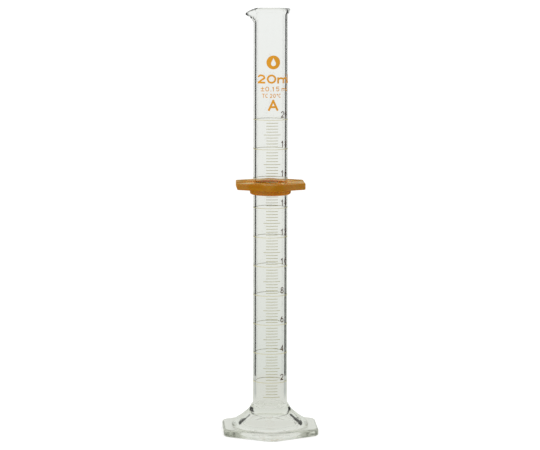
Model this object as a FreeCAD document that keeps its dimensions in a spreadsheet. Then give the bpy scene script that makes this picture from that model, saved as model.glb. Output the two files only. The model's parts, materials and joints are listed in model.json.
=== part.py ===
"""A 20 mL graduated measuring cylinder with a hexagonal glass foot and a soft guard ring.

Millimetres. The origin is the middle of the foot's underside and +Z runs up the bore. One
corner of the foot faces -Y, the scale's middle is turned a little from it, and the pouring
spout points to -X.
"""
import FreeCAD, Part
import Sketcher
import math
import os

doc = FreeCAD.newDocument("measuring_cylinder")

# ------------------------------------------------------------------ driving dimensions
DIMENSIONS = {
    # drawn glass tube
    "bore_radius": 6.8,          # sets the spacing of the marks, because they are volumes
    "wall": 1.3,
    "bore_floor": 10.2,          # inside bottom, above the bench
    "floor_corner": 3.0,         # rounding of the bore where it meets its floor
    "overall_height": 200.0,
    # flared and fire-polished rim
    "lip_reach": 1.0,            # how far the lip stands out beyond the tube
    "lip_height": 3.0,
    "lip_shoulder": 1.2,         # from the widest point of the lip up to its top
    "lip_wall": 1.45,
    "lip_rounding": 0.5,
    # pouring spout, drawn out of the rim
    "spout_drop": 2.1,           # how far its tip lies below the rim
    "spout_tip": 11.5,           # from the axis to its tip
    "spout_mouth": 6.0,          # from the axis to where the rim starts to slope
    "spout_wall": 1.1,
    "spout_lean": 39.0,          # of the spout's own axis, from upright
    "spout_length": 11.0,
    "spout_root_radius": 3.9,
    "spout_tip_radius": 3.3,
    # pressed glass foot
    "foot_corner": 25.7,         # from the axis to a corner before it is rounded
    "foot_corner_rounding": 4.0,
    "foot_slab": 3.4,
    "foot_edge_rounding": 1.0,
    "foot_underside_rounding": 0.8,
    "dome_radius": 18.2,
    "dome_shoulder_radius": 16.2,    # the dome stands on a low rounded step
    "dome_shoulder_height": 6.2,
    "dome_waist_radius": 10.4,       # the flank bends upward here
    "dome_waist_height": 10.7,
    "dome_neck_radius": 8.75,
    "dome_neck_height": 13.2,
    "dome_height": 13.5,
    "dome_blend": 1.6,
    "hollow_mouth_radius": 16.4,     # a cone is pressed into the underside
    "hollow_top_radius": 9.0,
    "hollow_height": 7.4,
    "hollow_rounding": 1.2,
    # soft guard ring
    "guard_corner": 18.4,
    "guard_corner_rounding": 1.6,
    "guard_flange": 3.0,
    "guard_top": 119.0,          # height of its upper face where it sits
    "guard_collar_height": 2.9,
    "guard_collar_radius": 9.9,
    "guard_collar_taper": 0.4,
    "guard_collar_rounding": 1.0,
    "guard_edge_rounding": 0.35,
    "guard_clearance": 0.06,
    # fired-on enamel
    "ink": 0.02,
    "line_width": 0.24,
    "half_mark_angle": 58.0,
    "short_mark_angle": 40.0,
    "mark_turn": 2.7,            # of the marks' middle from the foot's front corner
}

sheet = doc.addObject("Spreadsheet::Sheet", "sizes")
for row, (alias, number) in enumerate(DIMENSIONS.items(), start=1):
    sheet.set("A%d" % row, alias)
    sheet.set("B%d" % row, str(number))
    sheet.setAlias("B%d" % row, alias)
doc.recompute()


def size(expression):
    """The value in millimetres or degrees of an expression over the sheet's aliases."""
    return float(sheet.evalExpression(expression))


OUTSIDE = "sizes.bore_radius + sizes.wall"
TUBE_BASE = "sizes.bore_floor - sizes.wall"
RIM = "sizes.overall_height"
LIP_RADIUS = OUTSIDE + " + sizes.lip_reach"
MILLILITRE = "1000 / (pi * sizes.bore_radius ^ 2)"
# The rounded corner of the bore holds less than a sharp one: the area outside a quarter
# circle, times the way round that its centroid travels.
CORNER_AREA = "sizes.floor_corner ^ 2 * (1 - pi / 4)"
CORNER_PATH = "2 * pi * (sizes.bore_radius - 0.2234 * sizes.floor_corner)"
FIRST_MARK = ("sizes.bore_floor + (1000 + %s * %s) / (pi * sizes.bore_radius ^ 2)"
              % (CORNER_AREA, CORNER_PATH))


def mark_height(millilitres):
    return "%s + %g * %s" % (FIRST_MARK, millilitres - 1, MILLILITRE)


# ------------------------------------------------------------------ sketching helpers
def new_body(name):
    body = doc.addObject("PartDesign::Body", name)
    body.Label = name
    return body


def new_sketch(body, name, role, offset=None):
    """A sketch on one of the body's own origin planes, raised by an expression."""
    sketch = body.newObject("Sketcher::SketchObject", name)
    plane = [item for item in body.Origin.OriginFeatures if item.Role == role][0]
    sketch.AttachmentSupport = [(plane, "")]
    sketch.MapMode = "FlatFace"
    if offset:
        sketch.setExpression("AttachmentOffset.Base.z", offset)
    return sketch


def bind(sketch, kind, places, expression):
    """Adds a constraint whose value is an expression over the sheet."""
    index = sketch.addConstraint(Sketcher.Constraint(kind, *places, size(expression)))
    sketch.setExpression("Constraints[%d]" % index, expression)


def place_point(sketch, edge, end, across, up):
    """Pins one end of an edge to expressions measured from the sketch's origin."""
    for kind, axis, expression in (("DistanceX", -2, across), ("DistanceY", -1, up)):
        if expression == "0":
            sketch.addConstraint(Sketcher.Constraint("PointOnObject", edge, end, axis))
        else:
            bind(sketch, kind, (-1, 1, edge, end), expression)


def add_outline(sketch, corners):
    """A closed outline of straight edges, each corner a pair of expressions."""
    points = [FreeCAD.Vector(size(across), size(up), 0) for across, up in corners]
    for start, end in zip(points, points[1:] + points[:1]):
        sketch.addGeometry(Part.LineSegment(start, end))
    count = len(corners)
    for edge in range(count):
        sketch.addConstraint(Sketcher.Constraint("Coincident", edge, 2, (edge + 1) % count, 1))
    for edge, (across, up) in enumerate(corners):
        place_point(sketch, edge, 1, across, up)


def add_circle(sketch, across, radius):
    """A circle centred on the sketch's horizontal axis."""
    centre = FreeCAD.Vector(size(across), 0, 0)
    sketch.addGeometry(Part.Circle(centre, FreeCAD.Vector(0, 0, 1), size(radius)))
    place_point(sketch, 0, 3, across, "0")
    bind(sketch, "Radius", (0,), radius)


def add_hexagon(sketch, corner_radius):
    """A regular hexagon with one corner on the sketch's lower vertical axis."""
    radius = size(corner_radius)
    corners = [FreeCAD.Vector(radius * math.sin(math.radians(60 * side)),
                              -radius * math.cos(math.radians(60 * side)), 0) for side in range(6)]
    for start, end in zip(corners, corners[1:] + corners[:1]):
        sketch.addGeometry(Part.LineSegment(start, end))
    circle = sketch.addGeometry(Part.Circle(FreeCAD.Vector(), FreeCAD.Vector(0, 0, 1), radius), True)
    sketch.addConstraint(Sketcher.Constraint("Coincident", circle, 3, -1, 1))
    bind(sketch, "Radius", (circle,), corner_radius)
    for side in range(6):
        sketch.addConstraint(Sketcher.Constraint("Coincident", side, 2, (side + 1) % 6, 1))
        sketch.addConstraint(Sketcher.Constraint("PointOnObject", side, 1, circle))
    for side in range(1, 6):
        sketch.addConstraint(Sketcher.Constraint("Equal", 0, side))
    sketch.addConstraint(Sketcher.Constraint("PointOnObject", 0, 1, -2))


def turn(body, kind, name, sketch, angle=360.0):
    """A Revolution or Groove of a sketch about its own vertical axis, centred on it."""
    feature = body.newObject("PartDesign::" + kind, name)
    feature.Profile = sketch
    feature.ReferenceAxis = (sketch, ["V_Axis"])
    feature.Angle = angle
    feature.Midplane = angle < 360.0
    return feature


def fillet(body, name, base, edges, radius):
    feature = body.newObject("PartDesign::Fillet", name)
    feature.Base = (base, edges)
    feature.setExpression("Radius", radius)
    doc.recompute()
    return feature


def edges_where(feature, test):
    """Names of the feature's edges that pass a test."""
    return ["Edge%d" % number for number, edge in enumerate(feature.Shape.Edges, start=1)
            if test(edge)]


def at_height(edge, height):
    box = edge.BoundBox
    return abs(box.ZMin - height) < 0.001 and abs(box.ZMax - height) < 0.001


def is_ring(edge, radius, height):
    """Whether an edge is a circle about the Z axis with this radius and height."""
    return (at_height(edge, height) and isinstance(edge.Curve, Part.Circle)
            and abs(edge.Curve.Radius - radius) < 0.001)


def is_upright(edge):
    return isinstance(edge.Curve, Part.Line) and abs(edge.BoundBox.ZLength - edge.Length) < 0.001


# ------------------------------------------------------------------ glass tube
def build_tube():
    """Drawn tube with a closed round end, a flared lip and a spout pulled out of it."""
    outside = new_body("tube_outside")
    outline = new_sketch(outside, "tube_outline", "XZ_Plane")
    add_outline(outline, [
        ("0", TUBE_BASE),
        (OUTSIDE, TUBE_BASE),
        (OUTSIDE, RIM + " - sizes.lip_height"),
        (LIP_RADIUS, RIM + " - sizes.lip_shoulder"),
        (LIP_RADIUS, RIM),
        ("0", RIM)])
    solid = turn(outside, "Revolution", "tube_solid", outline)
    doc.recompute()
    end_ring = edges_where(solid, lambda edge: is_ring(edge, size(OUTSIDE), size(TUBE_BASE)))
    fillet(outside, "tube_end", solid, end_ring, "sizes.floor_corner + sizes.wall")
    add_spout(outside, "spout_outside", "0")

    # The rim is level, and slopes down along the spout from its mouth to its tip.
    slope = new_sketch(outside, "rim_slope", "XZ_Plane")
    add_outline(slope, [
        (LIP_RADIUS + " + 1", RIM),
        ("-sizes.spout_mouth", RIM),
        ("-sizes.spout_tip", RIM + " - sizes.spout_drop"),
        ("-sizes.spout_tip - 5", RIM + " - sizes.spout_drop"),
        ("-sizes.spout_tip - 5", RIM + " + 10"),
        (LIP_RADIUS + " + 1", RIM + " + 10")])
    trim = outside.newObject("PartDesign::Pocket", "rim_trim")
    trim.Profile = slope
    trim.Type = "ThroughAll"
    trim.Midplane = True
    doc.recompute()

    inside = new_body("tube_inside")
    bore_outline = new_sketch(inside, "bore_outline", "XZ_Plane")
    lip_bore = LIP_RADIUS + " - sizes.lip_wall"
    add_outline(bore_outline, [
        ("0", "sizes.bore_floor"),
        ("sizes.bore_radius", "sizes.bore_floor"),
        ("sizes.bore_radius", RIM + " - sizes.lip_height"),
        (lip_bore, RIM + " - sizes.lip_shoulder"),
        (lip_bore, RIM + " + 3"),
        ("0", RIM + " + 3")])
    bore = turn(inside, "Revolution", "bore", bore_outline)
    doc.recompute()
    floor_ring = edges_where(bore, lambda edge: is_ring(
        edge, size("sizes.bore_radius"), size("sizes.bore_floor")))
    fillet(inside, "bore_floor_corner", bore, floor_ring, "sizes.floor_corner")
    add_spout(inside, "spout_channel", "sizes.spout_wall")

    blank = doc.addObject("Part::Cut", "tube_blank")
    blank.Base = outside
    blank.Tool = inside
    doc.recompute()
    tube = doc.addObject("Part::Fillet", "tube")
    tube.Base = blank
    rounding = size("sizes.lip_rounding")
    tube.Edges = [(number, rounding, rounding)
                  for number, edge in enumerate(blank.Shape.Edges, start=1)
                  if at_height(edge, size(RIM))]
    tube.Label = "tube"
    doc.recompute()
    return tube


def add_spout(body, name, wall):
    """A leaning cone that grows out of the tube; the channel in it is thinner by the wall."""
    cone = body.newObject("PartDesign::AdditiveCone", name)
    plane = [item for item in body.Origin.OriginFeatures if item.Role == "XY_Plane"][0]
    cone.AttachmentSupport = [(plane, "")]
    cone.MapMode = "FlatFace"
    lean = size("sizes.spout_lean")
    # Turned a quarter about its own axis, which keeps the cone's seam off the tube's.
    turned = FreeCAD.Rotation(FreeCAD.Vector(0, 1, 0), -lean) * FreeCAD.Rotation(
        FreeCAD.Vector(0, 0, 1), 90)
    cone.AttachmentOffset = FreeCAD.Placement(FreeCAD.Vector(), turned)
    # The cone runs past the tip by a quarter of its length, and the rim's slope trims it.
    overrun = 1.25
    tip_across = "sizes.spout_tip - sizes.spout_tip_radius * cos(%g)" % lean
    tip_up = "%s - sizes.spout_drop + sizes.spout_tip_radius * sin(%g)" % (RIM, lean)
    cone.setExpression("AttachmentOffset.Base.x",
                       "-(%s) + sizes.spout_length * sin(%g)" % (tip_across, lean))
    cone.setExpression("AttachmentOffset.Base.z",
                       "%s - sizes.spout_length * cos(%g)" % (tip_up, lean))
    cone.setExpression("Radius1", "sizes.spout_root_radius - %s" % wall)
    cone.setExpression("Radius2", "sizes.spout_root_radius - %s - %g * "
                       "(sizes.spout_root_radius - sizes.spout_tip_radius)" % (wall, overrun))
    cone.setExpression("Height", "%g * sizes.spout_length" % overrun)
    doc.recompute()


# ------------------------------------------------------------------ glass foot
def build_foot():
    """Pressed hexagonal slab and hollow dome, fused round the tube's closed end."""
    foot = new_body("hex_foot")
    outline = new_sketch(foot, "slab_outline", "XY_Plane")
    add_hexagon(outline, "sizes.foot_corner")
    slab = foot.newObject("PartDesign::Pad", "slab")
    slab.Profile = outline
    slab.setExpression("Length", "sizes.foot_slab")
    doc.recompute()
    corners = fillet(foot, "slab_corners", slab, edges_where(slab, is_upright),
                     "sizes.foot_corner_rounding")
    upper = edges_where(corners, lambda edge: at_height(edge, size("sizes.foot_slab")))
    upper_round = fillet(foot, "slab_upper_edge", corners, upper, "sizes.foot_edge_rounding")
    lower = edges_where(upper_round, lambda edge: at_height(edge, 0))
    fillet(foot, "slab_lower_edge", upper_round, lower, "sizes.foot_underside_rounding")

    dome_outline = new_sketch(foot, "dome_outline", "XZ_Plane")
    add_outline(dome_outline, [
        ("0", "sizes.foot_slab / 2"),
        ("sizes.dome_radius", "sizes.foot_slab / 2"),
        ("sizes.dome_radius", "sizes.foot_slab"),
        ("sizes.dome_shoulder_radius", "sizes.dome_shoulder_height"),
        ("sizes.dome_waist_radius", "sizes.dome_waist_height"),
        ("sizes.dome_neck_radius", "sizes.dome_neck_height"),
        (OUTSIDE, "sizes.dome_height"),
        ("0", "sizes.dome_height")])
    dome = turn(foot, "Revolution", "dome", dome_outline)
    doc.recompute()
    shoulder = edges_where(dome, lambda edge: is_ring(
        edge, size("sizes.dome_shoulder_radius"), size("sizes.dome_shoulder_height")))
    fillet(foot, "dome_shoulder_blend", dome, shoulder, "sizes.dome_blend")

    seat_outline = new_sketch(foot, "seat_outline", "XZ_Plane")
    add_outline(seat_outline, [
        ("0", TUBE_BASE),
        (OUTSIDE, TUBE_BASE),
        (OUTSIDE, "sizes.dome_height + 1"),
        ("0", "sizes.dome_height + 1")])
    seat = turn(foot, "Groove", "tube_seat", seat_outline)
    doc.recompute()
    seat_ring = edges_where(seat, lambda edge: is_ring(edge, size(OUTSIDE), size(TUBE_BASE)))
    fillet(foot, "tube_seat_corner", seat, seat_ring, "sizes.floor_corner + sizes.wall")

    add_hollow(foot)
    return foot


def add_hollow(foot):
    """The cone pressed into the underside, which leaves a wall of even thickness."""
    outline = new_sketch(foot, "hollow_outline", "XZ_Plane")
    add_outline(outline, [
        ("0", "0"),
        ("sizes.hollow_mouth_radius", "0"),
        ("sizes.hollow_top_radius", "sizes.hollow_height"),
        ("0", "sizes.hollow_height")])
    hollow = turn(foot, "Groove", "hollow", outline)
    doc.recompute()
    top_ring = edges_where(hollow, lambda edge: is_ring(
        edge, size("sizes.hollow_top_radius"), size("sizes.hollow_height")))
    fillet(foot, "hollow_corner", hollow, top_ring, "sizes.hollow_rounding")


# ------------------------------------------------------------------ soft guard ring
def build_guard():
    """Moulded soft ring: a hexagonal flange with a short round collar under it."""
    guard = new_body("guard_ring")
    underside = "sizes.guard_top - sizes.guard_flange"
    outline = new_sketch(guard, "flange_outline", "XY_Plane", underside)
    add_hexagon(outline, "sizes.guard_corner")
    flange = guard.newObject("PartDesign::Pad", "flange")
    flange.Profile = outline
    flange.setExpression("Length", "sizes.guard_flange")
    doc.recompute()
    corners = fillet(guard, "flange_corners", flange, edges_where(flange, is_upright),
                     "sizes.guard_corner_rounding")
    rims = edges_where(corners, lambda edge: at_height(edge, size("sizes.guard_top"))
                       or at_height(edge, size(underside)))
    fillet(guard, "flange_edges", corners, rims, "sizes.guard_edge_rounding")

    collar_foot = "%s - sizes.guard_collar_height" % underside
    collar_radius = "sizes.guard_collar_radius - sizes.guard_collar_taper"
    collar_outline = new_sketch(guard, "collar_outline", "XZ_Plane")
    add_outline(collar_outline, [
        ("0", collar_foot),
        (collar_radius, collar_foot),
        ("sizes.guard_collar_radius", underside),
        ("sizes.guard_collar_radius", underside + " + 1"),
        ("0", underside + " + 1")])
    collar = turn(guard, "Revolution", "collar", collar_outline)
    doc.recompute()
    collar_ring = edges_where(collar, lambda edge: is_ring(
        edge, size(collar_radius), size(collar_foot)))
    fillet(guard, "collar_edge", collar, collar_ring, "sizes.guard_collar_rounding")

    bore = new_sketch(guard, "guard_bore_outline", "XY_Plane", collar_foot + " - 1")
    add_circle(bore, "0", OUTSIDE + " + sizes.guard_clearance")
    hole = guard.newObject("PartDesign::Pocket", "guard_bore")
    hole.Profile = bore
    hole.Type = "ThroughAll"
    hole.Reversed = True
    doc.recompute()
    return guard


# ------------------------------------------------------------------ fired-on scale lines
def add_line(body, name, angle, height):
    """One enamel line on the tube, centred on the scale's middle."""
    outline = new_sketch(body, name + "_outline", "YZ_Plane")
    low = "%s - sizes.line_width / 2" % height
    high = "%s + sizes.line_width / 2" % height
    inner = "-(%s)" % OUTSIDE
    outer = "-(%s + sizes.ink)" % OUTSIDE
    add_outline(outline, [(inner, low), (outer, low), (outer, high), (inner, high)])
    return turn(body, "Revolution", name, outline, angle)


def repeat_lines(body, lines, pitch, count):
    """Repeats lines up the tube at a pitch given as an expression."""
    doc.recompute()
    pattern = body.newObject("PartDesign::LinearPattern", body.Name + "_pattern")
    pattern.Originals = lines
    axis = [item for item in body.Origin.OriginFeatures if item.Role == "Z_Axis"][0]
    pattern.Direction = (axis, [""])
    pattern.Occurrences = count
    pattern.setExpression("Length", "%d * (%s)" % (count - 1, pitch))
    body.Tip = pattern
    doc.recompute()


def build_scale():
    """Rings at every even millilitre, half marks at the odd ones, short marks between."""
    rings = new_body("scale_rings")
    ring = add_line(rings, "ring_line", 360.0, mark_height(2))
    repeat_lines(rings, [ring], "2 * " + MILLILITRE, 10)

    halves = new_body("scale_half_marks")
    half = add_line(halves, "half_line", size("sizes.half_mark_angle"), mark_height(1))
    half.setExpression("Angle", "sizes.half_mark_angle")
    repeat_lines(halves, [half], "2 * " + MILLILITRE, 10)

    shorts = new_body("scale_short_marks")
    lines = []
    for fifth in range(1, 5):
        line = add_line(shorts, "short_line_%d" % fifth, size("sizes.short_mark_angle"),
                        mark_height(1 + fifth / 5))
        line.setExpression("Angle", "sizes.short_mark_angle")
        lines.append(line)
    repeat_lines(shorts, lines, MILLILITRE, 19)
    for body in (halves, shorts):
        body.setExpression("Placement.Rotation.Angle", "sizes.mark_turn")
    doc.recompute()
    return [rings, halves, shorts]


# ------------------------------------------------------------------ fired-on lettering
# Each glyph is drawn in a unit cell with bars (x, y to x, y) and bows (centre, radii, angles).
GLYPHS = {
    "0": [("bow", 0.5, 0.5, 0.5, 0.5, 0, 360)],
    "1": [("bar", 0.5, 0, 0.5, 1), ("bar", 0.5, 1, 0.15, 0.78)],
    "2": [("bow", 0.5, 0.7, 0.5, 0.3, -20, 175), ("bar", 0.97, 0.6, 0, 0), ("bar", 0, 0, 1, 0)],
    "4": [("bar", 0.75, 0, 0.75, 1), ("bar", 0.75, 1, 0, 0.3), ("bar", 0, 0.3, 1, 0.3)],
    "5": [("bar", 0.12, 1, 0.95, 1), ("bar", 0.12, 1, 0.05, 0.52),
          ("bow", 0.48, 0.33, 0.52, 0.33, -145, 145)],
    "6": [("bow", 0.5, 0.32, 0.5, 0.32, 0, 360), ("bow", 0.75, 0.32, 0.75, 0.68, 95, 180)],
    "8": [("bow", 0.5, 0.77, 0.42, 0.23, 0, 360), ("bow", 0.5, 0.27, 0.5, 0.27, 0, 360)],
    "m": [("bar", 0, 0, 0, 0.6), ("bow", 0.25, 0.35, 0.25, 0.25, 0, 180), ("bar", 0.5, 0, 0.5, 0.35),
          ("bow", 0.75, 0.35, 0.25, 0.25, 0, 180), ("bar", 1, 0, 1, 0.35)],
    "L": [("bar", 0, 1, 0, 0), ("bar", 0, 0, 1, 0)],
    "T": [("bar", 0, 1, 1, 1), ("bar", 0.5, 1, 0.5, 0)],
    "C": [("bow", 0.5, 0.5, 0.5, 0.5, 42, 318)],
    "A": [("bar", 0, 0, 0.5, 1), ("bar", 0.5, 1, 1, 0), ("bar", 0.2, 0.3, 0.8, 0.3)],
    "±": [("bar", 0, 0.6, 1, 0.6), ("bar", 0.5, 0.25, 0.5, 0.95), ("bar", 0, 0, 1, 0)],
    ".": [("bar", 0.4, 0, 0.6, 0)],
    "°": [("bow", 0.5, 0.84, 0.5, 0.16, 0, 360)],
}


def bar_face(start, end, stroke):
    """A straight stroke with square ends that reach half a stroke past its points."""
    along = (end - start).normalize() * (stroke / 2)
    aside = FreeCAD.Vector(-along.z, 0, along.x)
    corners = [start - along - aside, end + along - aside, end + along + aside, start - along + aside]
    return Part.Face(Part.makePolygon(corners + corners[:1]))


def oval_edge(centre, across, up, first, last):
    """An arc of an upright ellipse in the XZ plane, or a whole one."""
    origin = FreeCAD.Vector()
    if across >= up:
        curve = Part.Ellipse(origin, across, up)
        start = first
        quarter_turn = 0
    else:
        curve = Part.Ellipse(origin, up, across)
        start = first - 90
        quarter_turn = 90
    edge = curve.toShape(math.radians(start), math.radians(start + last - first))
    edge.rotate(origin, FreeCAD.Vector(0, 0, 1), quarter_turn)
    edge.rotate(origin, FreeCAD.Vector(1, 0, 0), 90)
    edge.translate(centre)
    return edge


def bow_face(centre, across, up, first, last, stroke):
    """A curved stroke between two ellipses."""
    half = stroke / 2
    outer = oval_edge(centre, across + half, up + half, first, last)
    inner = oval_edge(centre, across - half, up - half, first, last)
    if last - first >= 360:
        return Part.Face(Part.Wire([outer])).cut(Part.Face(Part.Wire([inner])))
    ends = [Part.makeLine(outer.valueAt(outer.FirstParameter), inner.valueAt(inner.FirstParameter)),
            Part.makeLine(outer.valueAt(outer.LastParameter), inner.valueAt(inner.LastParameter))]
    return Part.Face(Part.Wire(Part.__sortEdges__([outer, inner] + ends)))


def glyph_faces(letter, width, height, stroke):
    """The strokes of a letter in the XZ plane, centred across, standing on its base line."""
    span = width - stroke
    rise = height - stroke

    def spot(x, y):
        return FreeCAD.Vector((x - 0.5) * span, 0, y * rise + stroke / 2)

    faces = []
    for kind, *numbers in GLYPHS[letter]:
        if kind == "bar":
            faces.append(bar_face(spot(*numbers[:2]), spot(*numbers[2:]), stroke))
        else:
            x, y, across, up, first, last = numbers
            faces.append(bow_face(spot(x, y), across * span, up * rise, first, last, stroke))
    return faces


def enamel(faces, angle, base):
    """Wraps flat faces onto the tube as a skin of enamel, turned about the axis."""
    radius = size(OUTSIDE)
    skin_radius = radius + size("sizes.ink")
    depth = FreeCAD.Vector(0, -skin_radius - 1, 0)
    blocks = []
    for face in faces:
        block = face.extrude(depth)
        block.translate(FreeCAD.Vector(0, 0, base))
        blocks.append(block)
    block = blocks[0].multiFuse(blocks[1:]) if len(blocks) > 1 else blocks[0]
    box = block.BoundBox
    foot = FreeCAD.Vector(0, 0, box.ZMin - 1)
    skin = Part.makeCylinder(skin_radius, box.ZLength + 2, foot)
    skin = skin.cut(Part.makeCylinder(radius, box.ZLength + 2, foot))
    mark = block.common(skin).removeSplitter()
    mark.rotate(FreeCAD.Vector(), FreeCAD.Vector(0, 0, 1), angle)
    return mark.Solids


def letter_row(letters, base, height, stroke):
    """Enamel letters of one row: each is (letter, angle from the scale's middle, width)."""
    solids = []
    for letter, angle, width in letters:
        solids += enamel(glyph_faces(letter, width, height, stroke), angle, base)
    return solids


def add_mark(name, solids):
    feature = doc.addObject("Part::Feature", name)
    feature.Label = name
    feature.Shape = Part.makeCompound(solids)
    feature.Placement = FreeCAD.Placement()
    return feature


NUMERAL_HEIGHT = 3.0
NUMERAL_WIDTH = 1.95
NUMERAL_STROKE = 0.42
NUMERAL_RISE = 1.1
NUMERAL_ANGLES = (40.5, 58.0)


def build_numerals():
    """A numeral above the right end of every second millilitre's line."""
    marks = []
    for millilitres in range(2, 21, 2):
        base = size(mark_height(millilitres)) + NUMERAL_RISE
        letters = [(digit, angle, NUMERAL_WIDTH)
                   for digit, angle in zip(str(millilitres), NUMERAL_ANGLES)]
        solids = letter_row(letters, base, NUMERAL_HEIGHT, NUMERAL_STROKE)
        marks.append(add_mark("numeral_%d" % millilitres, solids))
    return marks


# Rows of lettering above the top line: height over it, letter height, stroke and letters.
INSCRIPTIONS = {
    "class_letter": (4.4, 5.1, 0.95, [("A", 5.5, 4.85)]),
    "temperature_text": (10.4, 1.9, 0.3, [
        ("T", -27.5, 1.35), ("C", -16.2, 1.35), ("2", -1.5, 1.1), ("0", 9.5, 1.25),
        ("°", 19.5, 0.75), ("C", 28.5, 1.35)]),
    "tolerance_text": (13.4, 2.2, 0.34, [
        ("±", -31, 1.9), ("0", -14.5, 1.8), (".", -2.5, 0.5), ("1", 6, 1.2),
        ("5", 20.5, 1.7), ("m", 46, 2.9), ("L", 66, 1.5)]),
    "capacity_text": (17.0, 4.2, 0.85, [
        ("2", -36, 4.1), ("0", -0.2, 4.4), ("m", 43, 6.6), ("L", 79, 2.6)]),
}


def build_inscriptions():
    marks = []
    for name, (rise, height, stroke, letters) in INSCRIPTIONS.items():
        base = size(mark_height(20)) + rise
        marks.append(add_mark(name, letter_row(letters, base, height, stroke)))
    return marks


def build_round_mark():
    """A plain disc with a drop left clear in its middle."""
    disc_radius = 3.2
    drop_radius = 1.15
    drop_centre = FreeCAD.Vector(0, 0, -0.55)
    drop_point = FreeCAD.Vector(0, 0, 2.0)
    rise = 26.8
    angle = 6.0
    toward_viewer = FreeCAD.Vector(0, -1, 0)
    disc = Part.Face(Part.Wire(Part.makeCircle(disc_radius, FreeCAD.Vector(), toward_viewer)))
    drop = Part.Face(Part.Wire(Part.makeCircle(drop_radius, drop_centre, toward_viewer)))
    reach = drop_point.z - drop_centre.z
    lean = math.asin(drop_radius / reach)
    touch = FreeCAD.Vector(drop_radius * math.cos(lean), 0, drop_centre.z + drop_radius * math.sin(lean))
    other = FreeCAD.Vector(-touch.x, 0, touch.z)
    tip = Part.Face(Part.makePolygon([drop_centre, touch, drop_point, other, drop_centre]))
    face = disc.cut([drop, tip])
    solids = enamel([face], angle, size(mark_height(20)) + rise)
    return [add_mark("round_mark", solids)]


# ------------------------------------------------------------------ build, check and write
pieces = [build_tube(), build_foot(), build_guard()]
pieces += build_scale() + build_numerals() + build_inscriptions() + build_round_mark()
doc.recompute()

for item in doc.Objects:
    if "Invalid" in item.State or "Error" in item.State:
        raise RuntimeError("%s failed: %s" % (item.Name, item.State))

os.makedirs("parts", exist_ok=True)
for piece in pieces:
    shape = piece.Shape
    if shape.isNull() or not shape.isValid() or not shape.Solids:
        raise RuntimeError("%s has no valid solid" % piece.Label)
    shape.exportStep("parts/%s.step" % piece.Label)
    print("%-20s %3d solids %10.3f mm3" % (piece.Label, len(shape.Solids), shape.Volume))
print("one millilitre is %.3f mm; lowest mark %.2f mm, highest %.2f mm"
      % (size(MILLILITRE), size(mark_height(1)), size(mark_height(20))))
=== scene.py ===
# %% [markdown]
# # A graduated measuring cylinder of glass
#
# This lesson dresses a small laboratory cylinder: a drawn glass tube fused to a pressed
# hexagonal foot, a soft amber guard ring that slides on it, and a scale of enamel fired onto
# the glass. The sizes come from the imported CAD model, which stays where it is. The glass is
# modelled again here, because clear things show every facet of a plain mesh.

# %% Load the frame and keep its box
import json
import math

import bmesh
import bpy
from mathutils import Matrix, Vector

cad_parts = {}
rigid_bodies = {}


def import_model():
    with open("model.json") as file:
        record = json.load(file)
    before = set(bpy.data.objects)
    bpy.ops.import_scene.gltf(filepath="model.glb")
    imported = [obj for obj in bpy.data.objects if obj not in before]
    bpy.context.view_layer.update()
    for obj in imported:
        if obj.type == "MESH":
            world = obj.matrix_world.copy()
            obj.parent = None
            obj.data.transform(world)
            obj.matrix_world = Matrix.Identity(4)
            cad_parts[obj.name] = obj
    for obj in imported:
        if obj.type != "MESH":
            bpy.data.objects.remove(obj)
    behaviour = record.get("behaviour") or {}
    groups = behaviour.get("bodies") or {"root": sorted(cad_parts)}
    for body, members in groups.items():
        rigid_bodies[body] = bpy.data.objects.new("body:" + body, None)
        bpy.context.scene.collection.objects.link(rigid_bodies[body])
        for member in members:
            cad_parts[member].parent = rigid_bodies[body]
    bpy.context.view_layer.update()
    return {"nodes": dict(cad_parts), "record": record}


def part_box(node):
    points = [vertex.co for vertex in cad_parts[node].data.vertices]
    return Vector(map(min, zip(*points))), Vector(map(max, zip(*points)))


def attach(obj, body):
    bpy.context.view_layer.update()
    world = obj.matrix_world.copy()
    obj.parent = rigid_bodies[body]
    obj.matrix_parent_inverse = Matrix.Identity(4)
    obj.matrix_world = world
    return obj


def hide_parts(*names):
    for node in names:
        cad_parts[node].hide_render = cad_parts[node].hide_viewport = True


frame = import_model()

MM = 0.001
ROUND_STEPS = 126
for item in bpy.data.objects:
    item.select_set(False)

# %% [markdown]
# ## Sizes
#
# Two sizes are read from the frame: the bore's radius is a mount, and the outside of the tube
# is the inside of the enamel rings. The others are named values in millimetres.

# %% Sizes read from the frame
mounts = {mount["name"]: mount for mount in frame["record"]["mounts"]}
bore_radius = mounts["measuring_bore"]["dims"]["r_mm"] * MM
enamel_thickness = 0.02 * MM
enamel_gap = 0.004 * MM
tube_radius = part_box("scale_rings")[1].x - enamel_thickness - enamel_gap
rim_height = 200.0 * MM
print("tube %.2f mm outside, bore %.2f mm" % (2000 * tube_radius, 2000 * bore_radius))

# %% [markdown]
# ## The camera
#
# A long lens about a metre away looks a little down on the cylinder. The whole height fits
# the frame, and the foot is seen from above while the rim is seen almost level.

# %% The camera
camera_turn = math.radians(-3.2)
camera_distance = 1.047
camera_height = 0.2265
aim_height = 0.0985
lens_mm = 149.6
lean = math.radians(0.127)

camera_data = bpy.data.cameras.new("camera")
camera_data.lens = lens_mm
camera_data.sensor_width = 36
camera_data.clip_start = 0.01
camera_data.shift_x = -0.0006
camera = bpy.data.objects.new("camera", camera_data)
bpy.context.scene.collection.objects.link(camera)
camera_place = Vector((math.sin(camera_turn), -math.cos(camera_turn), 0)) * camera_distance
camera_place.z = camera_height
look = Vector((0, 0, aim_height)) - camera_place
turn = look.to_track_quat("-Z", "Y").to_matrix().to_4x4() @ Matrix.Rotation(lean, 4, "Z")
camera.matrix_world = Matrix.Translation(camera_place) @ turn
bpy.context.scene.camera = camera
print("camera at", [round(number, 3) for number in camera_place])

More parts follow.
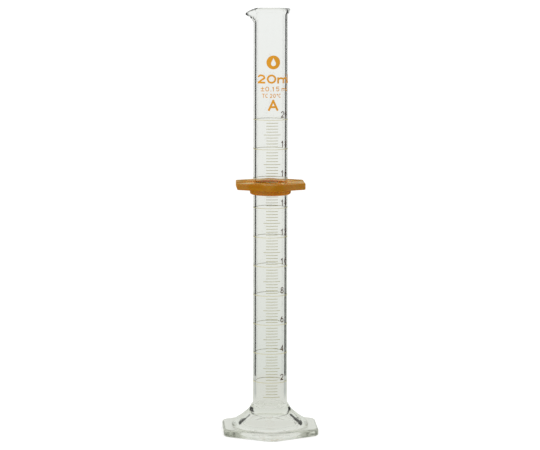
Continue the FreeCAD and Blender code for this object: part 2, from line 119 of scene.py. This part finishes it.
# %% [markdown]
# ## Colours and shader nodes
#
# Colours are written as on a screen and turned to linear light by one function. One small
# function adds a shader node, sets its inputs and links it to other nodes.

# %% Helpers for materials
def linear(code):
    """A screen colour such as "c8781e" as linear red, green, blue and alpha."""
    channels = []
    for place in (0, 2, 4):
        value = int(code[place:place + 2], 16) / 255
        channels.append(value / 12.92 if value <= 0.04045 else ((value + 0.055) / 1.055) ** 2.4)
    return (*channels, 1.0)


def add_node(tree, kind, settings=None, **inputs):
    """Adds a node. An input is a value, or a (node, output) pair to link from."""
    node = tree.nodes.new(kind)
    for name, value in (settings or {}).items():
        setattr(node, name, value)
    for name, value in inputs.items():
        socket = node.inputs[name.replace("_", " ")]
        if isinstance(value, tuple) and isinstance(value[0], bpy.types.Node):
            tree.links.new(value[0].outputs[value[1]], socket)
        else:
            socket.default_value = value
    return node


def new_material(name):
    material = bpy.data.materials.new(name)
    material.use_nodes = True
    material.node_tree.nodes.clear()
    return material, material.node_tree


def finish_material(tree, surface, volume=None):
    output = add_node(tree, "ShaderNodeOutputMaterial")
    tree.links.new(surface.outputs[0], output.inputs["Surface"])
    if volume:
        tree.links.new(volume.outputs[0], output.inputs["Volume"])


# %% [markdown]
# ## The studio
#
# Glass has no colour of its own: it shows what stands round it. A pale floor fills the view,
# and the light comes from everywhere. Tall dark cards stand off to the sides, where only the
# glass sees them, and draw the thin dark lines along the walls of the tube.

# %% World light and floor
world = bpy.data.worlds.new("studio")
bpy.context.scene.world = world
world.use_nodes = True
world.node_tree.nodes["Background"].inputs["Color"].default_value = (1, 1, 1, 1)
world.node_tree.nodes["Background"].inputs["Strength"].default_value = 1.12

paper, tree = new_material("matt_paper")
finish_material(tree, add_node(tree, "ShaderNodeBsdfDiffuse", Color=linear("fbfbfb")))

bpy.ops.mesh.primitive_plane_add(size=12)
floor = bpy.context.object
floor.name = "floor"
floor.data.materials.append(paper)
floor.visible_transmission = False
floor.visible_glossy = False


def only_seen_in_glass(card):
    card.visible_camera = False
    card.visible_diffuse = False
    card.visible_shadow = False


# %% What the glass sees: a pale table, a pale drum and dark cards
pale, tree = new_material("lit_paper")
# Painted light: the paper's glow is graded as if lit from above, nearly white at the top,
# greyer and a little green near the table.
place = add_node(tree, "ShaderNodeTexCoord")
split = add_node(tree, "ShaderNodeSeparateXYZ", Vector=(place, "Object"))
height = add_node(tree, "ShaderNodeMapRange", Value=(split, "Z"), From_Min=-0.35,
                  From_Max=-0.15)
ramp = add_node(tree, "ShaderNodeValToRGB", Fac=(height, "Result"))
ramp.color_ramp.elements[0].color = linear("d7dbd4")
ramp.color_ramp.elements[1].color = linear("f0f2f0")
middle = ramp.color_ramp.elements.new(0.4)
middle.color = linear("e6e8e2")
finish_material(tree, add_node(tree, "ShaderNodeEmission", Color=(ramp, "Color")))
table_pale, tree = new_material("lit_table")
# Painted reflection: well away from the foot the table is painted greyer where it would mirror
# the dark cards, 33 to 63 degrees aside.
place = add_node(tree, "ShaderNodeTexCoord")
split = add_node(tree, "ShaderNodeSeparateXYZ", Vector=(place, "Object"))
aside = add_node(tree, "ShaderNodeMath", {"operation": "ARCTAN2"})
tree.links.new(split.outputs["X"], aside.inputs[0])
tree.links.new(split.outputs["Y"], aside.inputs[1])
aside_either = add_node(tree, "ShaderNodeMath", {"operation": "ABSOLUTE"})
tree.links.new(aside.outputs[0], aside_either.inputs[0])
turned_part = add_node(tree, "ShaderNodeMapRange", Value=(aside_either, 0), From_Min=0.0,
                       From_Max=math.pi)
ramp = add_node(tree, "ShaderNodeValToRGB", Fac=(turned_part, "Result"))
ramp.color_ramp.elements[0].color = linear("d6d8d0")
ramp.color_ramp.elements[1].color = linear("d6d8d0")
for spot, code in ((0.17, "d6d8d0"), (0.19, "b2b6b2"), (0.36, "b2b6b2"), (0.39, "d6d8d0")):
    ramp.color_ramp.elements.new(spot).color = linear(code)
away = add_node(tree, "ShaderNodeVectorMath", {"operation": "LENGTH"})
tree.links.new(place.outputs["Object"], away.inputs[0])
far_part = add_node(tree, "ShaderNodeMapRange", Value=(away, "Value"), From_Min=0.08, From_Max=0.1)
table_tone = add_node(tree, "ShaderNodeMix", {"data_type": "RGBA"})
tree.links.new(far_part.outputs["Result"], table_tone.inputs[0])
table_tone.inputs[6].default_value = linear("d6d8d0")
tree.links.new(ramp.outputs["Color"], table_tone.inputs[7])
glowing = add_node(tree, "ShaderNodeEmission")
tree.links.new(table_tone.outputs[2], glowing.inputs["Color"])
finish_material(tree, glowing)

dark, tree = new_material("dark_card")
# The card's shade is painted by the slope of the arriving ray: level rays find it dark and steep
# rays from the foot find it pale, as if the dark stood far off and low and they passed over it.
geometry = add_node(tree, "ShaderNodeNewGeometry")
split = add_node(tree, "ShaderNodeSeparateXYZ", Vector=(geometry, "Incoming"))
level = add_node(tree, "ShaderNodeMapRange", Value=(split, "Z"), From_Min=-0.38, From_Max=-0.32)
shade = add_node(tree, "ShaderNodeValToRGB", Fac=(level, "Result"))
shade.color_ramp.elements[0].color = linear("e2e4de")
shade.color_ramp.elements[1].color = linear("141414")
finish_material(tree, add_node(tree, "ShaderNodeEmission", Color=(shade, "Color")))
drum_radius = 0.145
drum_height = 0.7

bpy.ops.mesh.primitive_cylinder_add(vertices=360, radius=drum_radius, depth=drum_height,
                                    location=(0, 0, drum_height / 2), end_fill_type="NOTHING")
drum = bpy.context.object
drum.name = "studio_drum"
drum.data.materials.append(pale)
drum.data.materials.append(dark)
slots = ((-63, -33), (33, 57))
for face in drum.data.polygons:
    away = math.degrees(math.atan2(face.center.x, face.center.y))
    face.material_index = int(any(start < away < end for start, end in slots))
only_seen_in_glass(drum)

bpy.ops.mesh.primitive_plane_add(size=12, location=(0, 0, -0.0002))
table = bpy.context.object
table.name = "studio_table"
table.data.materials.append(table_pale)
only_seen_in_glass(table)
for card in (drum, table):
    card.visible_glossy = True
    card.visible_transmission = True

# %% [markdown]
# ## Soft light for the ring and the enamel
#
# One wide lamp above and to the left gives the ring its long highlight.

# %% Lamps
def add_lamp(name, place, aim, across, power):
    data = bpy.data.lights.new(name, "AREA")
    data.shape = "RECTANGLE"
    data.size, data.size_y = across
    data.energy = power
    lamp = bpy.data.objects.new(name, data)
    bpy.context.scene.collection.objects.link(lamp)
    lamp.location = place
    lamp.rotation_euler = (Vector(aim) - Vector(place)).to_track_quat("-Z", "Y").to_euler()
    lamp.visible_transmission = False
    return lamp


add_lamp("lamp_left", (-0.7, -0.5, 0.9), (0, 0, 0.1), (0.5, 0.5), 4)

# %% [markdown]
# ## Modelling helpers
#
# The glass is a hexagonal slab joined to two turned parts. A turned part starts as one vertex,
# which is extruded along a profile and spun about the upright axis.

# %% Select, extrude and spin
def deselect_everything():
    for item in bpy.data.objects:
        item.select_set(False)


def edit(piece):
    """Opens one piece alone in edit mode."""
    deselect_everything()
    piece.select_set(True)
    bpy.context.view_layer.objects.active = piece
    bpy.ops.object.mode_set(mode="EDIT")


def pick_edges(piece, test):
    """Selects the edges of a piece in edit mode that pass a test."""
    bpy.ops.mesh.select_all(action="DESELECT")
    mesh = bmesh.from_edit_mesh(piece.data)
    for edge in mesh.edges:
        edge.select = test(edge)
    mesh.select_flush_mode()
    bmesh.update_edit_mesh(piece.data)


def draw_profile(name, points):
    """An open chain of edges in the XZ plane through (radius, height) points."""
    deselect_everything()
    bpy.ops.mesh.primitive_plane_add(size=1 * MM, location=(points[0][0], 0, points[0][1]))
    piece = bpy.context.object
    piece.name = name
    bpy.ops.object.transform_apply(location=True, rotation=False, scale=False)
    bpy.ops.object.mode_set(mode="EDIT")
    bpy.ops.mesh.select_mode(type="VERT")
    bpy.ops.mesh.select_all(action="SELECT")
    bpy.ops.mesh.merge(type="CENTER")
    for (radius, height), (next_radius, next_height) in zip(points, points[1:]):
        step = (next_radius - radius, 0, next_height - height)
        bpy.ops.mesh.extrude_vertices_move(TRANSFORM_OT_translate={"value": step})
    bpy.ops.object.mode_set(mode="OBJECT")
    return piece


def spin_profile(piece, steps):
    edit(piece)
    bpy.ops.mesh.select_all(action="SELECT")
    bpy.ops.mesh.spin(steps=steps, angle=2 * math.pi, center=(0, 0, 0), axis=(0, 0, 1))
    bpy.ops.mesh.select_all(action="SELECT")
    bpy.ops.mesh.remove_doubles(threshold=0.001 * MM)
    bpy.ops.object.mode_set(mode="OBJECT")


def arc(centre, radius, start, end, count):
    """Points of an arc from one angle in degrees to another."""
    angles = [math.radians(start + (end - start) * step / count) for step in range(count + 1)]
    return [(centre[0] + radius * math.cos(angle), centre[1] + radius * math.sin(angle))
            for angle in angles]


def run(start, end, count):
    """Evenly spaced points on a straight run, without its first."""
    return [(start[0] + (end[0] - start[0]) * step / count,
             start[1] + (end[1] - start[1]) * step / count) for step in range(1, count + 1)]


# %% A hexagonal slab with rounded corners, and the joint between a loop and a circle
def add_hexagon_wall(name, corner, rounding, low, high):
    """The upright wall of a hexagonal slab, with one corner toward -Y."""
    deselect_everything()
    bpy.ops.mesh.primitive_cylinder_add(vertices=6, radius=corner, depth=high - low,
                                        location=(0, 0, (low + high) / 2),
                                        end_fill_type="NOTHING")
    wall = bpy.context.object
    wall.name = name
    bpy.ops.object.transform_apply(location=True, rotation=False, scale=False)
    bpy.ops.object.mode_set(mode="EDIT")
    bpy.ops.mesh.select_mode(type="EDGE")
    pick_edges(wall, lambda edge: abs(edge.verts[0].co.z - edge.verts[1].co.z) > high - low - 1e-6)
    bpy.ops.mesh.bevel(offset=rounding * math.tan(math.radians(30)), segments=8,
                       affect="EDGES", offset_type="OFFSET")
    # Nine points at each corner and twelve along each side match the points of the circles.
    pick_edges(wall, lambda edge: edge.is_boundary and edge.calc_length() > corner / 3)
    bpy.ops.mesh.subdivide(number_cuts=12)
    bpy.ops.object.mode_set(mode="OBJECT")
    return wall


def join_pieces(pieces, name):
    deselect_everything()
    for piece in pieces:
        piece.select_set(True)
    bpy.context.view_layer.objects.active = pieces[0]
    bpy.ops.object.join()
    pieces[0].name = name
    pieces[0].data.name = name
    return pieces[0]


def bridge(piece, height, radius_low, radius_high):
    """Bridges the two open loops that lie at one height between two radii."""
    def on_loop(edge):
        level = all(abs(vert.co.z - height) < 1e-7 for vert in edge.verts)
        reach = [vert.co.xy.length for vert in edge.verts]
        inside = all(radius_low - 1e-6 < distance < radius_high + 1e-6 for distance in reach)
        return edge.is_boundary and level and inside
    pick_edges(piece, on_loop)
    bpy.ops.mesh.bridge_edge_loops()


def close_and_smooth(piece, material, angle=40):
    """Normals outward, smooth shading and the material."""
    edit(piece)
    bpy.ops.mesh.select_all(action="SELECT")
    bpy.ops.mesh.normals_make_consistent(inside=False)
    bpy.ops.object.mode_set(mode="OBJECT")
    deselect_everything()
    piece.select_set(True)
    bpy.ops.object.shade_smooth_by_angle(angle=math.radians(angle))
    flatten = piece.modifiers.new("flat_faces_stay_flat", "WEIGHTED_NORMAL")
    flatten.keep_sharp = True
    flatten.weight = 100
    bpy.ops.object.modifier_apply(modifier=flatten.name)
    piece.data.materials.clear()
    piece.data.materials.append(material)
    mesh = bmesh.new()
    mesh.from_mesh(piece.data)
    loose = sum(not edge.is_manifold for edge in mesh.edges)
    print("%s: %d faces, %d open edges, %.2f cm3"
          % (piece.name, len(mesh.faces), loose, mesh.calc_volume() * 1e6))
    mesh.free()


# %% [markdown]
# ## Glass
#
# Tube and foot are fused, so they are one closed mesh of one glass, with the bore as part of
# its surface. Light then bends only where real glass meets air.

# %% Glass material
glass, tree = new_material("clear_laboratory_glass")
# Clear glass that was drawn and pressed: no roughness, and a green cast only where it is thick.
clear = add_node(tree, "ShaderNodeBsdfPrincipled", Base_Color=linear("ffffff"), Roughness=0.0,
                 IOR=1.48, Transmission_Weight=1.0)
# Light that is only on its way to a lamp or the sky passes the glass almost unhindered.
passing = add_node(tree, "ShaderNodeBsdfTransparent", Color=linear("f6f8f5"))
path = add_node(tree, "ShaderNodeLightPath")
surface = add_node(tree, "ShaderNodeMixShader", Fac=(path, "Is Shadow Ray"))
tree.links.new(clear.outputs[0], surface.inputs[1])
tree.links.new(passing.outputs[0], surface.inputs[2])
volume = add_node(tree, "ShaderNodeVolumeAbsorption", Color=linear("ccd2b2"), Density=9.0)
finish_material(tree, surface, volume)

# %% Profile of the tube, the dome and the hollow under it
slab_height = 3.4 * MM
dome_radius = 18.2 * MM
floor_corner = 3.0 * MM
bore_floor = 10.2 * MM
lip_reach = 1.0 * MM
lip_root = rim_height - 3.0 * MM
lip_centre = (tube_radius + lip_reach - 0.75 * MM, rim_height - 0.75 * MM)

profile = [(dome_radius, slab_height)]
for radius, height in ((18.05, 4.2), (17.6, 5.0), (16.9, 5.65), (16.0, 6.25)):
    profile += run(profile[-1], (radius * MM, height * MM), 2)
for radius, height in ((14.05, 7.5), (12.6, 8.7), (11.4, 9.65), (10.3, 10.7), (9.35, 12.0),
                       (8.8, 13.15)):
    profile += run(profile[-1], (radius * MM, height * MM), 4)
for radius, height in ((8.6, 13.4), (8.3, 13.55)):
    profile += run(profile[-1], (radius * MM, height * MM), 1)
profile += run(profile[-1], (tube_radius, 13.6 * MM), 1)
profile += run(profile[-1], (tube_radius, rim_height - 12 * MM), 60)
profile += run(profile[-1], (tube_radius, lip_root), 16)
profile += run(profile[-1], (tube_radius + lip_reach, rim_height - 1.2 * MM), 4)
profile += arc(lip_centre, 0.75 * MM, 0, 180, 12)[1:]
profile += run(profile[-1], (bore_radius, lip_root), 4)
profile += run(profile[-1], (bore_radius, rim_height - 12 * MM), 16)
profile += run(profile[-1], (bore_radius, bore_floor + floor_corner), 60)
floor_centre = (bore_radius - floor_corner, bore_floor + floor_corner)
profile += arc(floor_centre, floor_corner, 0, -90, 10)[1:]
profile += run(profile[-1], (0, bore_floor), 4)
turned = draw_profile("glass_turned", profile)

mouth_radius = 16.4 * MM
hollow_radius = 9.0 * MM
hollow_top = 7.4 * MM
hollow_round = 1.2 * MM
hollow = [(0, hollow_top)]
hollow += run(hollow[-1], (hollow_radius - hollow_round, hollow_top), 4)
hollow_centre = (hollow_radius - hollow_round, hollow_top - hollow_round)
hollow += arc(hollow_centre, hollow_round, 90, 45, 5)[1:]
hollow += run(hollow[-1], (mouth_radius - 0.3 * MM, 0.5 * MM), 8)
hollow += run(hollow[-1], (mouth_radius, 0), 1)
hollow_turned = draw_profile("glass_hollow", hollow)
for piece in (turned, hollow_turned):
    spin_profile(piece, ROUND_STEPS)

# %% Pull out the spout
edit(turned)
bpy.ops.mesh.select_mode(type="VERT")
bpy.ops.mesh.select_all(action="DESELECT")
mesh = bmesh.from_edit_mesh(turned.data)
for vert in mesh.verts:
    side = math.degrees(math.atan2(vert.co.y, -vert.co.x))
    vert.select = vert.co.z > rim_height - 1.3 * MM and abs(side) < 5
mesh.select_flush_mode()
bmesh.update_edit_mesh(turned.data)
bpy.ops.transform.translate(value=(-2.6 * MM, 0, -1.9 * MM), use_proportional_edit=True,
                            proportional_edit_falloff="LINEAR", proportional_size=5.4 * MM)
bpy.ops.object.mode_set(mode="OBJECT")

# %% Join the slab, then round its edges
foot_corner = 25.7 * MM
wall = add_hexagon_wall("glass_slab", foot_corner, 4.0 * MM, 0, slab_height)
body = join_pieces([turned, hollow_turned, wall], "glass_body")
bpy.ops.object.mode_set(mode="EDIT")
bpy.ops.mesh.select_mode(type="EDGE")
bridge(body, slab_height, dome_radius, foot_corner)
bridge(body, 0, mouth_radius, foot_corner)
for height, rounding in ((slab_height, 1.0 * MM), (0, 0.8 * MM)):
    pick_edges(body, lambda edge: all(abs(vert.co.z - height) < 1e-7
                                      and vert.co.xy.length > dome_radius * 1.1
                                      for vert in edge.verts)
               and len(edge.link_faces) == 2
               and abs(edge.link_faces[0].normal.z - edge.link_faces[1].normal.z) > 0.5)
    bpy.ops.mesh.bevel(offset=rounding, segments=5, affect="EDGES")
bpy.ops.object.mode_set(mode="OBJECT")
close_and_smooth(body, glass)
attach(body, "cylinder")
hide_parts("tube", "hex_foot")

# %% [markdown]
# ## Guard ring
#
# The ring is moulded from soft amber PVC, a little see-through and glossy. Its CAD mesh is fine
# enough for a clouded material, so it keeps its shape and gets its finish.

# %% Ring material
amber, tree = new_material("soft_amber_pvc")
place = add_node(tree, "ShaderNodeTexCoord")
flat = add_node(tree, "ShaderNodeVectorMath", {"operation": "MULTIPLY"})
tree.links.new(place.outputs["Object"], flat.inputs[0])
flat.inputs[1].default_value = (1, 1, 0)
reach = add_node(tree, "ShaderNodeVectorMath", {"operation": "LENGTH"})
tree.links.new(flat.outputs[0], reach.inputs[0])
span = add_node(tree, "ShaderNodeMapRange", Value=(reach, "Value"), From_Min=0.008,
                From_Max=0.018)
ramp = add_node(tree, "ShaderNodeValToRGB", Fac=(span, "Result"))
# Outward from the bore, with painted light: the bore wall is painted bright for light that would
# reach it through the tube, the collar is redder, and the flange is painted yellower toward its
# thin corners for light shining through them.
ramp.color_ramp.elements[0].color = linear("c87c22")
ramp.color_ramp.elements[1].color = linear("8f5e0c")
for spot, code in ((0.04, "c87c22"), (0.1, "a0620e"), (0.3, "a0620e"), (0.6, "8c5808")):
    ramp.color_ramp.elements.new(spot).color = linear(code)
soft = add_node(tree, "ShaderNodeBsdfPrincipled", Base_Color=(ramp, "Color"), Roughness=0.5,
                IOR=1.45, Specular_IOR_Level=0.0, Subsurface_Weight=0.3, Subsurface_Scale=0.003)
# The moulded skin is not quite even, so it mirrors the room in streaks.
streaks = add_node(tree, "ShaderNodeTexNoise", Vector=(place, "Object"), Scale=140.0, Detail=2.0)
streak_share = add_node(tree, "ShaderNodeMapRange", Value=(streaks, "Fac"), From_Min=0.4,
                        From_Max=0.65, To_Min=0.08, To_Max=0.5)
slant = add_node(tree, "ShaderNodeLayerWeight", Blend=0.5)
slant_share = add_node(tree, "ShaderNodeMapRange", Value=(slant, "Facing"), From_Min=0.5,
                       From_Max=0.9, To_Min=0.1, To_Max=1.0)
share = add_node(tree, "ShaderNodeMath", {"operation": "MULTIPLY"})
tree.links.new(streak_share.outputs[0], share.inputs[0])
tree.links.new(slant_share.outputs[0], share.inputs[1])
mirror = add_node(tree, "ShaderNodeBsdfGlossy", Color=linear("f4e2b8"), Roughness=0.25)
surface = add_node(tree, "ShaderNodeMixShader", Fac=(share, 0))
tree.links.new(soft.outputs[0], surface.inputs[1])
tree.links.new(mirror.outputs[0], surface.inputs[2])
finish_material(tree, surface)

# %% The ring gets its finish
ring = frame["nodes"]["guard_ring"]
ring.data.materials.clear()
ring.data.materials.append(amber)
print("ring: %d faces" % len(ring.data.polygons))

# %% [markdown]
# ## Enamel
#
# The scale is enamel fired into the glass. The CAD skins are right, and get their finish.

# %% Enamel material
def fired_enamel(name, code):
    material, tree = new_material(name)
    surface = add_node(tree, "ShaderNodeBsdfPrincipled", Base_Color=linear(code), Roughness=0.45,
                       IOR=1.5, Specular_IOR_Level=0.25)
    finish_material(tree, surface)
    return material


amber_enamel = fired_enamel("fired_amber_enamel", "c2840c")
ring_enamel = fired_enamel("fired_pale_enamel", "b2ac84")
line_enamel = fired_enamel("fired_thin_enamel", "98946c")
brown_enamel = fired_enamel("fired_brown_enamel", "3a1800")
for name, node in frame["nodes"].items():
    if name in ("tube", "hex_foot", "guard_ring"):
        continue
    node.data.materials.clear()
    if name == "scale_rings":
        enamel = ring_enamel
    elif name.startswith("scale_"):
        enamel = line_enamel
    elif name.startswith("numeral_"):
        enamel = brown_enamel
    else:
        enamel = amber_enamel
    node.data.materials.append(enamel)

# %% [markdown]
# ## Colour and light paths
#
# Glass needs many bounces: a ray through tube and foot crosses a dozen surfaces.

# %% Render settings that belong to the look
scene = bpy.context.scene
scene.view_settings.view_transform = "Standard"
scene.cycles.max_bounces = 24
scene.cycles.transmission_bounces = 24
scene.cycles.glossy_bounces = 12
scene.cycles.use_denoising = True
